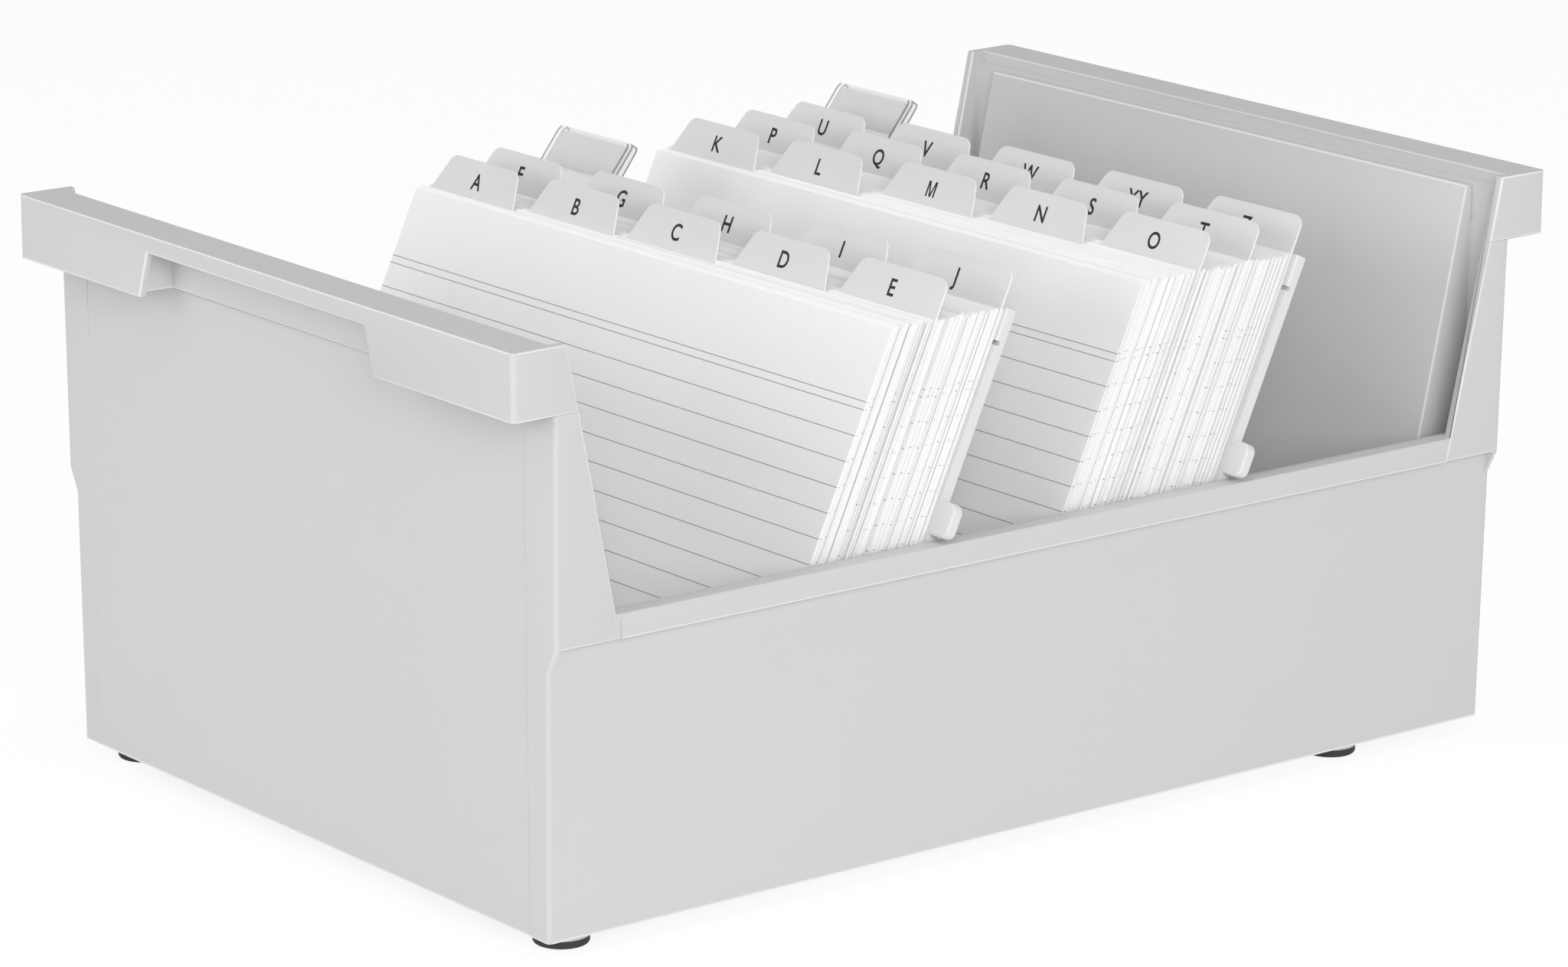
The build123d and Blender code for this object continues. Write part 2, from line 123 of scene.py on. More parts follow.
def new_material(name: str) -> tuple[bpy.types.Material, bpy.types.NodeTree]:
    """Make an empty node material.

    Args:
        name: the material's name.

    Returns:
        The material and its cleared node tree.
    """
    material = bpy.data.materials.new(name)
    material.use_nodes = True
    material.node_tree.nodes.clear()
    return material, material.node_tree


def finish_surface(tree: bpy.types.NodeTree, shader: bpy.types.Node) -> None:
    """Link a shader to the material's output."""
    output = tree.nodes.new("ShaderNodeOutputMaterial")
    tree.links.new(shader.outputs[0], output.inputs["Surface"])


def object_from(name: str, mesh: bpy.types.Mesh, material: bpy.types.Material | None = None
                ) -> bpy.types.Object:
    """Put a mesh into the scene at the origin.

    Args:
        name: name of the new object.
        mesh: its mesh, already in place.
        material: material that replaces what the mesh has.

    Returns:
        The new object.
    """
    piece = bpy.data.objects.new(name, mesh)
    bpy.context.scene.collection.objects.link(piece)
    if material is not None:
        mesh.materials.clear()
        mesh.materials.append(material)
    return piece


def baked(piece: bpy.types.Object) -> bpy.types.Mesh:
    """Return the mesh of an object with its modifiers applied."""
    graph = bpy.context.evaluated_depsgraph_get()
    return bpy.data.meshes.new_from_object(piece.evaluated_get(graph))


def breadth(face: bmesh.types.BMFace) -> float:
    """Return the mean breadth of a face, in metres."""
    return 2 * face.calc_area() / face.calc_perimeter()


def is_crisp(line: bmesh.types.BMEdge, width: float) -> bool:
    """Tell whether an edge is a long outer corner between faces wide enough to round.

    Args:
        line: the edge.
        width: rounding in metres.

    Returns:
        True for an edge to round.
    """
    if not line.is_convex or line.calc_length() < SHORTEST_LINE * width:
        return False
    if line.calc_face_angle(0.0) < CRISP_ANGLE:
        return False
    nearest = min(near.calc_length() for end in line.verts for near in end.link_edges)
    if nearest < SHORTEST_NEIGHBOUR:
        return False
    return all(breadth(face) > NARROWEST_FACE * width for face in line.link_faces)


def softened(node: str, width: float, segments: int, name: str,
             face: bpy.types.Material, edge: bpy.types.Material,
             reshape: Callable[[bmesh.types.BMesh], None] | None = None) -> bpy.types.Object:
    """Copy a CAD node as a welded mesh with rounded edges.

    Args:
        node: the CAD node to stand for.
        width: edge rounding in metres.
        segments: faces across each rounding.
        name: name of the new piece.
        face: material of its faces.
        edge: material of its rounded edges.
        reshape: small change to the mesh before its edges are rounded.

    Returns:
        The piece, at the origin with its place in its mesh.
    """
    mesh = bpy.data.objects[node].data.copy()
    mesh.materials.clear()
    mesh.materials.append(face)
    mesh.materials.append(edge)
    if "custom_normal" in mesh.attributes:
        mesh.attributes.remove(mesh.attributes["custom_normal"])
    work = bmesh.new()
    work.from_mesh(mesh)
    bmesh.ops.remove_doubles(work, verts=work.verts, dist=WELD)
    if reshape is not None:
        reshape(work)
    bmesh.ops.dissolve_limit(
        work, angle_limit=FLAT_ANGLE, verts=work.verts, edges=work.edges)
    chosen = [line for line in work.edges if is_crisp(line, width)]
    bmesh.ops.bevel(
        work, geom=chosen, offset=width, offset_type="OFFSET", segments=segments,
        profile=0.5, affect="EDGES", clamp_overlap=False, loop_slide=False, material=1)
    for part in work.faces:
        part.smooth = breadth(part) < SMOOTH_BREADTH
    bmesh.ops.triangulate(work, faces=[f for f in work.faces if len(f.verts) > 4])
    work.to_mesh(mesh)
    work.free()
    mesh.set_sharp_from_angle(angle=SHARP_ANGLE)
    return object_from(name, mesh)


def mark_rims(piece: bpy.types.Object, flat: Callable[[Vector], bool]) -> None:
    """Give the second material to every face that isn't a broad one.

    Args:
        piece: the piece, with two materials.
        flat: tells from a face's normal whether the face is broad.
    """
    for face in piece.data.polygons:
        face.material_index = 0 if flat(face.normal) else 1


# ---------------------------------------------------------------- materials
@dataclass(frozen=True)
class MouldedPolystyrene:
    """Injection-moulded, pigmented polystyrene: satin, with a fine spark-eroded grain.

    The grain breaks highlights up softly, and broad flow marks vary the gloss a little.
    """

    name: str
    colour: str
    shade: str
    roughness: float = 0.46
    flow: float = 9.0  # flow marks per metre
    grain: float = 0.45  # millimetres across a speck of the grain
    relief: float = 0.012  # millimetres of its depth

    def build(self) -> bpy.types.Material:
        """Make the material."""
        material, tree = new_material(self.name)
        place = add(tree, "ShaderNodeTexCoord").outputs["Object"]
        flow = add(tree, "ShaderNodeTexNoise", {"noise_dimensions": "3D"},
                   Vector=place, Scale=self.flow, Detail=3.0)
        tint = add(tree, "ShaderNodeMix", {"data_type": "RGBA"},
                   i0=flow.outputs["Fac"], i6=linear(self.colour), i7=linear(self.shade))
        speck = add(tree, "ShaderNodeTexNoise", {"noise_dimensions": "3D"},
                    Vector=place, Scale=1 / (self.grain * MM), Detail=2.0)
        gloss = add(tree, "ShaderNodeMapRange", None,
                    Value=flow.outputs["Fac"], i1=0.3, i2=0.7,
                    i3=self.roughness - 0.04, i4=self.roughness + 0.05)
        bump = add(tree, "ShaderNodeBump", None, Strength=0.35,
                   Distance=self.relief * MM, Height=speck.outputs["Fac"])
        shader = add(tree, "ShaderNodeBsdfPrincipled", None,
                     Base_Color=tint.outputs[2], Roughness=gloss.outputs["Result"],
                     Normal=bump.outputs["Normal"], IOR=1.55)
        finish_surface(tree, shader)
        return material


@dataclass(frozen=True)
class RuledCard:
    """Uncoated white card stock, offset-printed with a double head rule and thin rules.

    The rules follow each card's own place, which its mesh carries as an attribute.
    """

    name: str = "uncoated card stock, ruled"
    paper: str = "FAFAFB"
    cool: str = "F4F5F7"
    ink: str = "9FA2A2"
    fibre: float = 900.0  # paper fibres per metre
    cloud: float = 40.0  # clouds in the paper per metre
    head_rules: tuple[float, float] = (19.8, 21.9)  # millimetres below the top edge
    pitch: float = 6.95
    line: float = 0.24
    tick: float = 0.06  # how strongly a rule shows on a cut edge
    tick_scale: float = 600.0
    gap_tone: str = "B4B6B8"
    gap_scale: float = 1900.0  # lines between cards per metre of stack, at most
    gap_onset: tuple[float, float] = (0.58, 0.72)  # noise values where a line starts and is full
    gap_depth: float = 0.75

    def build(self) -> bpy.types.Material:
        """Make the material."""
        material, tree = new_material(self.name)
        place = add(tree, "ShaderNodeTexCoord").outputs["Object"]
        fibre = add(tree, "ShaderNodeTexNoise", {"noise_dimensions": "3D"},
                    Vector=place, Scale=self.fibre, Detail=4.0)
        cloud = add(tree, "ShaderNodeTexNoise", {"noise_dimensions": "3D"},
                    Vector=place, Scale=self.cloud, Detail=2.0)
        tone = add(tree, "ShaderNodeMath", {"operation": "MULTIPLY"},
                   i0=cloud.outputs["Fac"], i1=0.9)
        paper = add(tree, "ShaderNodeMix", {"data_type": "RGBA"},
                    i0=tone.outputs[0], i6=linear(self.paper), i7=linear(self.cool))
        stack = add(tree, "ShaderNodeMix", {"data_type": "RGBA"},
                    i0=self.gaps(tree), i6=paper.outputs[2], i7=linear(self.gap_tone))
        colour = add(tree, "ShaderNodeMix", {"data_type": "RGBA"},
                     i0=self.rules(tree), i6=stack.outputs[2], i7=linear(self.ink)).outputs[2]
        bump = add(tree, "ShaderNodeBump", None, Strength=0.3, Distance=0.01 * MM,
                   Height=fibre.outputs["Fac"])
        shader = add(tree, "ShaderNodeBsdfPrincipled", None, Base_Color=colour,
                     Roughness=0.78, Normal=bump.outputs["Normal"], IOR=1.47)
        finish_surface(tree, shader)
        return material

    def gaps(self, tree: bpy.types.NodeTree) -> bpy.types.NodeSocket:
        """Mask of the thin shadows between cards, seen only on their cut edges.

        Args:
            tree: the material's node tree.

        Returns:
            A socket with the mask.
        """
        place = add(tree, "ShaderNodeTexCoord").outputs["Object"]
        tilt = math.radians(LEAN)
        across = add(tree, "ShaderNodeVectorMath", {"operation": "DOT_PRODUCT"},
                     i0=place, i1=(0.0, math.cos(tilt), -math.sin(tilt)))
        lines = add(tree, "ShaderNodeTexNoise", {"noise_dimensions": "1D"},
                    W=across.outputs["Value"], Scale=self.gap_scale, Detail=0.0)
        dark = add(tree, "ShaderNodeMapRange", None, Value=lines.outputs["Fac"],
                   i1=self.gap_onset[0], i2=self.gap_onset[1], i3=0.0, i4=self.gap_depth)
        leaf = add(tree, "ShaderNodeAttribute", {"attribute_name": LEAF_PLACE})
        axes = add(tree, "ShaderNodeSeparateXYZ", None, i0=leaf.outputs["Vector"])
        edge = add(tree, "ShaderNodeMath", {"operation": "GREATER_THAN"},
                   i0=axes.outputs[1], i1=FRONT_DEPTH)
        return add(tree, "ShaderNodeMath", {"operation": "MULTIPLY"},
                   i0=dark.outputs["Result"], i1=edge.outputs[0]).outputs[0]

    def rules(self, tree: bpy.types.NodeTree) -> bpy.types.NodeSocket:
        """Mask of the printed rules, 1 on a rule.

        Args:
            tree: the material's node tree.

        Returns:
            A socket with the mask.
        """
        def maths(kind: str, first: object, second: object = 0.0) -> bpy.types.NodeSocket:
            return add(tree, "ShaderNodeMath", {"operation": kind}, i0=first, i1=second).outputs[0]

        leaf = add(tree, "ShaderNodeAttribute", {"attribute_name": LEAF_PLACE})
        axes = add(tree, "ShaderNodeSeparateXYZ", None, i0=leaf.outputs["Vector"])
        drop = maths("SUBTRACT", CARD_HEIGHT, maths("DIVIDE", axes.outputs[2], MM))
        head = None
        for at in self.head_rules:
            hit = maths("LESS_THAN", maths("ABSOLUTE", maths("SUBTRACT", drop, at)), self.line / 2)
            head = hit if head is None else maths("MAXIMUM", head, hit)
        below = maths("SUBTRACT", drop, self.head_rules[1])
        phase = maths("PINGPONG", below, self.pitch / 2)
        line = maths("LESS_THAN", phase, self.line / 2)
        line = maths("MULTIPLY", line, maths("GREATER_THAN", below, self.pitch / 2))
        every = maths("MAXIMUM", head, line)
        front = maths("LESS_THAN", axes.outputs[1], FRONT_DEPTH)
        place = add(tree, "ShaderNodeTexCoord").outputs["Object"]
        run = add(tree, "ShaderNodeTexNoise", {"noise_dimensions": "3D"},
                  Vector=place, Scale=self.tick_scale, Detail=0.0)
        tick = maths("MULTIPLY", maths("GREATER_THAN", run.outputs["Fac"], 0.5), self.tick)
        return maths("MULTIPLY", every, maths("MAXIMUM", front, tick))


@dataclass(frozen=True)
class PlainSheet:
    """Calendered sheet or printed ink: an even colour with a slight cloud and tooth."""

    name: str
    colour: str
    shade: str
    roughness: float
    ior: float = 1.5
    cloud: float = 55.0  # clouds per metre
    tooth: float = 0.25  # millimetres across a grain of the tooth

    def build(self) -> bpy.types.Material:
        """Make the material."""
        material, tree = new_material(self.name)
        place = add(tree, "ShaderNodeTexCoord").outputs["Object"]
        cloud = add(tree, "ShaderNodeTexNoise", {"noise_dimensions": "3D"},
                    Vector=place, Scale=self.cloud, Detail=3.0)
        tint = add(tree, "ShaderNodeMix", {"data_type": "RGBA"},
                   i0=cloud.outputs["Fac"], i6=linear(self.colour), i7=linear(self.shade))
        tooth = add(tree, "ShaderNodeTexNoise", {"noise_dimensions": "3D"},
                    Vector=place, Scale=1 / (self.tooth * MM), Detail=2.0)
        bump = add(tree, "ShaderNodeBump", None, Strength=0.25, Distance=0.008 * MM,
                   Height=tooth.outputs["Fac"])
        shader = add(tree, "ShaderNodeBsdfPrincipled", None, Base_Color=tint.outputs[2],
                     Roughness=self.roughness, Normal=bump.outputs["Normal"], IOR=self.ior)
        finish_surface(tree, shader)
        return material


@dataclass(frozen=True)
class ClearSheet:
    """Extruded clear acrylic sheet: see-through faces, and denser cut edges painted darker as
    painted shade.
    """

    name: str
    colour: str
    shade: str
    cover: float  # share of the light that the sheet holds back
    haze: float = 120.0  # clouds of handling haze per metre

    def build(self) -> bpy.types.Material:
        """Make the material."""
        material, tree = new_material(self.name)
        place = add(tree, "ShaderNodeTexCoord").outputs["Object"]
        haze = add(tree, "ShaderNodeTexNoise", {"noise_dimensions": "3D"},
                   Vector=place, Scale=self.haze, Detail=2.0)
        gloss = add(tree, "ShaderNodeMapRange", None, Value=haze.outputs["Fac"], i3=0.04, i4=0.1)
        tint = add(tree, "ShaderNodeMix", {"data_type": "RGBA"},
                   i0=haze.outputs["Fac"], i6=linear(self.colour), i7=linear(self.shade))
        shader = add(tree, "ShaderNodeBsdfPrincipled", None, Base_Color=tint.outputs[2],
                     Roughness=gloss.outputs["Result"], IOR=1.49, Alpha=self.cover)
        finish_surface(tree, shader)
        return material


@dataclass(frozen=True)
class FootRubber:
    """Black compression-moulded rubber: dull, with pale dust in its grain."""

    name: str = "black rubber"
    colour: str = "26282A"
    dust: str = "3A3C3E"
    grain: float = 1500.0  # grains per metre

    def build(self) -> bpy.types.Material:
        """Make the material."""
        material, tree = new_material(self.name)
        place = add(tree, "ShaderNodeTexCoord").outputs["Object"]
        grain = add(tree, "ShaderNodeTexNoise", {"noise_dimensions": "3D"},
                    Vector=place, Scale=self.grain, Detail=3.0)
        tint = add(tree, "ShaderNodeMix", {"data_type": "RGBA"},
                   i0=grain.outputs["Fac"], i6=linear(self.colour), i7=linear(self.dust))
        bump = add(tree, "ShaderNodeBump", None, Strength=0.5, Distance=0.03 * MM,
                   Height=grain.outputs["Fac"])
        shader = add(tree, "ShaderNodeBsdfPrincipled", None, Base_Color=tint.outputs[2],
                     Roughness=0.62, Normal=bump.outputs["Normal"], IOR=1.52)
        finish_surface(tree, shader)
        return material


class Finish(Enum):
    """The finishes of the drawer's pieces."""

    # Even satin grey, and its rounded corners: painted lighter as a highlight, and slightly
    # glossier.
    TRAY = MouldedPolystyrene("grey moulded polystyrene", "D3D4D5", "CFD0D1")
    TRAY_EDGE = MouldedPolystyrene(
        "grey moulded polystyrene, painted edge highlight", "EBECED", "E5E6E7", roughness=0.36)
    # Paler and duller than the tray, so the lugs stand out on its rims.
    PLATE = MouldedPolystyrene("pale moulded polystyrene", "E4E5E6", "E0E1E2", roughness=0.5)
    # Its rounded edges are painted lighter as a highlight, and are slightly glossier.
    PLATE_EDGE = MouldedPolystyrene(
        "pale moulded polystyrene, painted edge highlight", "F2F3F4", "EEEFF0", roughness=0.42)
    CARD = RuledCard()
    # Light grey sheet whose cut edge is painted lighter than its faces, as a painted highlight.
    GUIDE = PlainSheet("polypropylene guide sheet", "E3E4E4", "DFE0E0", 0.5)
    GUIDE_EDGE = PlainSheet("polypropylene guide sheet, cut edge, painted highlight", "FAFAFA", "F6F6F6", 0.45)
    INK = PlainSheet("black offset ink", "1E1E1E", "262626", 0.6, tooth=0.4)
    LABEL = PlainSheet("grey label paper", "E4E5E5", "E0E1E1", 0.8, 1.47)
    # Clear faces between cut edges painted dark grey: painted shade for the dark outline that
    # refraction gives any cut acrylic sheet.
    CLEAR = ClearSheet("clear acrylic sheet", "F4F5F5", "F0F1F1", 0.2)
    CLEAR_EDGE = ClearSheet("clear acrylic sheet, cut edge, painted shade", "8A8C8D", "7C7E80", 0.8)
    RUBBER = FootRubber()


class Wardrobe:
    """Builds each finish once and hands it out."""

    def __init__(self) -> None:
        """Start with no material built."""
        self.built: dict[Finish, bpy.types.Material] = {}

    def get(self, finish: Finish) -> bpy.types.Material:
        """Return the material of a finish."""
        if finish not in self.built:
            self.built[finish] = finish.value.build()
        return self.built[finish]


def dress(piece: bpy.types.Object, material: bpy.types.Material) -> None:
    """Give a piece one material in every slot."""
    piece.data.materials.clear()
    piece.data.materials.append(material)


# ------------------------------------------------------------ the filing plan
def leaning(y: float, z: float) -> Matrix:
    """Place of a leaning sheet.

    Args:
        y: foot of the sheet's front face, in metres.
        z: height of that foot, in metres.

    Returns:
        A matrix from sheet axes (X across, Y backwards, Z up the sheet).
    """
    turn = Euler((-math.radians(LEAN), 0.0, 0.0)).to_matrix().to_4x4()
    return Matrix.Translation((0.0, y, z)) @ turn


@dataclass(frozen=True)
class FilingPlan:
    """How the two blocks are filed, in millimetres."""

    card_width: float = 210.0
    card_pitch: float = 0.3
    card_thickness: float = 0.29
    guide_thickness: float = 0.5
    run_gap: float = 0.3  # between the foremost cards and the first guide
    lead_cards: int = 7
    tab_pitch: float = 42.0
    letter_aside: float = 0.9  # from a tab's middle to its letter's
    columns: int = 5
    # Each guide's letter and the number of cards behind it.
    front: tuple[tuple[str, int], ...] = (
        ("a", 7), ("b", 6), ("c", 5), ("d", 5), ("e", 11),
        ("f", 9), ("g", 8), ("h", 14), ("i", 10), ("j", 3))
    rear: tuple[tuple[str, int], ...] = (
        ("k", 9), ("l", 17), ("m", 8), ("n", 6), ("o", 7),
        ("p", 14), ("q", 9), ("r", 3), ("s", 9), ("t", 9),
        ("u", 11), ("v", 5), ("w", 3), ("xy", 3), ("z", 3))

    def blocks(self) -> Iterable[tuple[str, tuple[tuple[str, int], ...]]]:
        """Name and file list of each block."""
        return (("front", self.front), ("rear", self.rear))

    def foot_height(self, name: str) -> float:
        """Find the foot of a guide's front face.

        Args:
            name: the guide's letter or letters in lower case.

        Returns:
            The foot's height in metres.
        """
        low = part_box(f"guide_{name}")[0]
        return low.z + self.guide_thickness * MM * math.sin(math.radians(LEAN))


# ---------------------------------------------------------------- card packs
@dataclass
class CardPacks:
    """Separate cards in place of each solid pack, laid out by a node tree.

    Cards shift in small groups, as they do when someone leafs through them, and every
    card shifts a little more on its own. Lengths are in millimetres.
    """

    plan: FilingPlan
    wardrobe: Wardrobe
    scatter: float = 0.42  # sideways shift of a group
    jitter: float = 0.07  # sideways shift of one card
    rise: float = 0.9  # upward shift of a group
    own_rise: float = 0.4  # upward shift of one card, as a share of the group's
    lead_jitter: float = 0.5  # sideways shift of one of the foremost cards
    spread: float = 0.2  # space that a pack's cards share between them
    group: int = 3
    first_seed: int = 11
    seed_step: int = 5
    made: list[bpy.types.Object] = field(default_factory=list)

    def tree(self) -> bpy.types.NodeTree:
        """Node tree that stacks cards, each with its own sideways and upward shift.

        Returns:
            The geometry node tree, with named inputs.
        """
        tree = bpy.data.node_groups.new("stack of cards", "GeometryNodeTree")
        face = tree.interface
        kinds = {
            "Cards": "NodeSocketInt", "Pitch": "NodeSocketFloat", "Climb": "NodeSocketFloat",
            "Thickness": "NodeSocketFloat", "Width": "NodeSocketFloat",
            "Height": "NodeSocketFloat", "Scatter": "NodeSocketFloat",
            "Jitter": "NodeSocketFloat", "Rise": "NodeSocketFloat",
            "Group": "NodeSocketInt", "Seed": "NodeSocketInt",
            "Material": "NodeSocketMaterial"}
        for name, kind in kinds.items():
            face.new_socket(name, in_out="INPUT", socket_type=kind)
        face.new_socket("Geometry", in_out="OUTPUT", socket_type="NodeSocketGeometry")
        given = tree.nodes.new("NodeGroupInput").outputs

        def maths(kind: str, first: object, second: object = 0.0) -> bpy.types.NodeSocket:
            return add(tree, "ShaderNodeMath", {"operation": kind}, i0=first, i1=second).outputs[0]

        def chance(reach: object, low: object, ident: object, seed: object
                   ) -> bpy.types.NodeSocket:
            node = add(tree, "FunctionNodeRandomValue", {"data_type": "FLOAT"},
                       i2=low, i3=reach, ID=ident, Seed=seed)
            return node.outputs[1]

        step = add(tree, "ShaderNodeCombineXYZ", None, Y=given["Pitch"],
                   Z=maths("MULTIPLY", given["Pitch"], given["Climb"]))
        line = add(tree, "GeometryNodeMeshLine", {"mode": "OFFSET"},
                   Count=given["Cards"], Offset=step.outputs[0])
        index = add(tree, "GeometryNodeInputIndex").outputs[0]
        # Each draw below adds its own number to the seed, so the shifts don't go together.
        wad = maths("FLOOR", maths("DIVIDE", maths("ADD", index, 0.5), given["Group"]))
        aside = maths(
            "ADD",
            chance(given["Scatter"], maths("MULTIPLY", given["Scatter"], -1.0), wad, given["Seed"]),
            chance(given["Jitter"], maths("MULTIPLY", given["Jitter"], -1.0), index,
                   maths("ADD", given["Seed"], 7.0)))
        up = maths(
            "ADD",
            chance(given["Rise"], 0.0, wad, maths("ADD", given["Seed"], 19.0)),
            chance(maths("MULTIPLY", given["Rise"], self.own_rise), 0.0, index,
                   maths("ADD", given["Seed"], 23.0)))
        shift = add(tree, "ShaderNodeCombineXYZ", None, X=aside, Z=up)
        points = add(tree, "GeometryNodeSetPosition", None,
                     Geometry=line.outputs[0], Offset=shift.outputs[0])
        size = add(tree, "ShaderNodeCombineXYZ", None, X=given["Width"],
                   Y=given["Thickness"], Z=given["Height"])
        card = add(tree, "GeometryNodeMeshCube", None, Size=size.outputs[0])
        half = add(tree, "ShaderNodeCombineXYZ", None,
                   Y=maths("DIVIDE", given["Thickness"], 2.0),
                   Z=maths("DIVIDE", given["Height"], 2.0))
        card = add(tree, "GeometryNodeTransform", None,
                   Geometry=card.outputs[0], Translation=half.outputs[0])
        where = add(tree, "GeometryNodeInputPosition").outputs[0]
        card = add(tree, "GeometryNodeStoreNamedAttribute",
                   {"data_type": "FLOAT_VECTOR", "domain": "POINT"},
                   Geometry=card.outputs[0], Name=LEAF_PLACE, Value=where)
        cards = add(tree, "GeometryNodeInstanceOnPoints", None,
                    Points=points.outputs[0], Instance=card.outputs[0])
        whole = add(tree, "GeometryNodeRealizeInstances", None, Geometry=cards.outputs[0])
        inked = add(tree, "GeometryNodeSetMaterial", None,
                    Geometry=whole.outputs[0], Material=given["Material"])
        output = tree.nodes.new("NodeGroupOutput")
        tree.links.new(inked.outputs[0], output.inputs[0])
        return tree

    def pack(self, tree: bpy.types.NodeTree, node: str, body: str, cards: int,
             y: float, z: float, seed: int, jitter: float) -> None:
        """Make the cards of one pack.

        Args:
            tree: the stacking tree.
            node: the CAD pack they stand for.
            body: the body that they ride on.
            cards: how many cards.
            y: foot of the first card, in metres.
            z: height of its foot, in metres.
            seed: start value of the chance shifts.
            jitter: sideways shift of single cards, in millimetres.
        """
        plan = self.plan
        holder = object_from("stack", bpy.data.meshes.new("stack"))
        modifier = holder.modifiers.new("stack", "NODES")
        modifier.node_group = tree
        loose = self.spread / cards
        values = {
            "Cards": cards, "Pitch": (plan.card_pitch + loose) * MM,
            "Climb": math.tan(math.radians(LEAN)),
            "Thickness": (plan.card_thickness + loose) * MM,
            "Width": plan.card_width * MM,
            "Height": CARD_HEIGHT * MM, "Scatter": self.scatter * MM,
            "Jitter": jitter * MM, "Rise": self.rise * MM, "Group": self.group,
            "Seed": seed, "Material": self.wardrobe.get(Finish.CARD)}
        for item in tree.interface.items_tree:
            if item.item_type == "SOCKET" and item.in_out == "INPUT":
                modifier[item.identifier] = values[item.name]
        mesh = baked(holder)
        bpy.data.objects.remove(holder)
        mesh.transform(leaning(y, z))
        piece = object_from(node.replace("cards", "leaves"), mesh)
        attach(piece, body)
        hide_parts(node)
        self.made.append(piece)

    def build(self) -> None:
        """Make the cards of every pack."""
        tree = self.tree()
        plan = self.plan
        cosine = math.cos(math.radians(LEAN))
        seed = self.first_seed
        for side, files in plan.blocks():
            first = files[0][0]
            z = plan.foot_height(first)
            lead_run = (plan.lead_cards * plan.card_pitch + plan.run_gap) * MM / cosine
            self.pack(tree, f"cards_{side}_lead", f"{side}_lead_cards", plan.lead_cards,
                      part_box(f"guide_{first}")[0].y - lead_run, z, seed, self.lead_jitter)
            for letter, cards in files:
                seed += self.seed_step
                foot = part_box(f"guide_{letter}")[0].y + plan.guide_thickness * MM / cosine
                self.pack(tree, f"cards_{letter}", f"section_{letter}", cards, foot, z,
                          seed, self.jitter)
        LOG.info("card packs: %d", len(self.made))


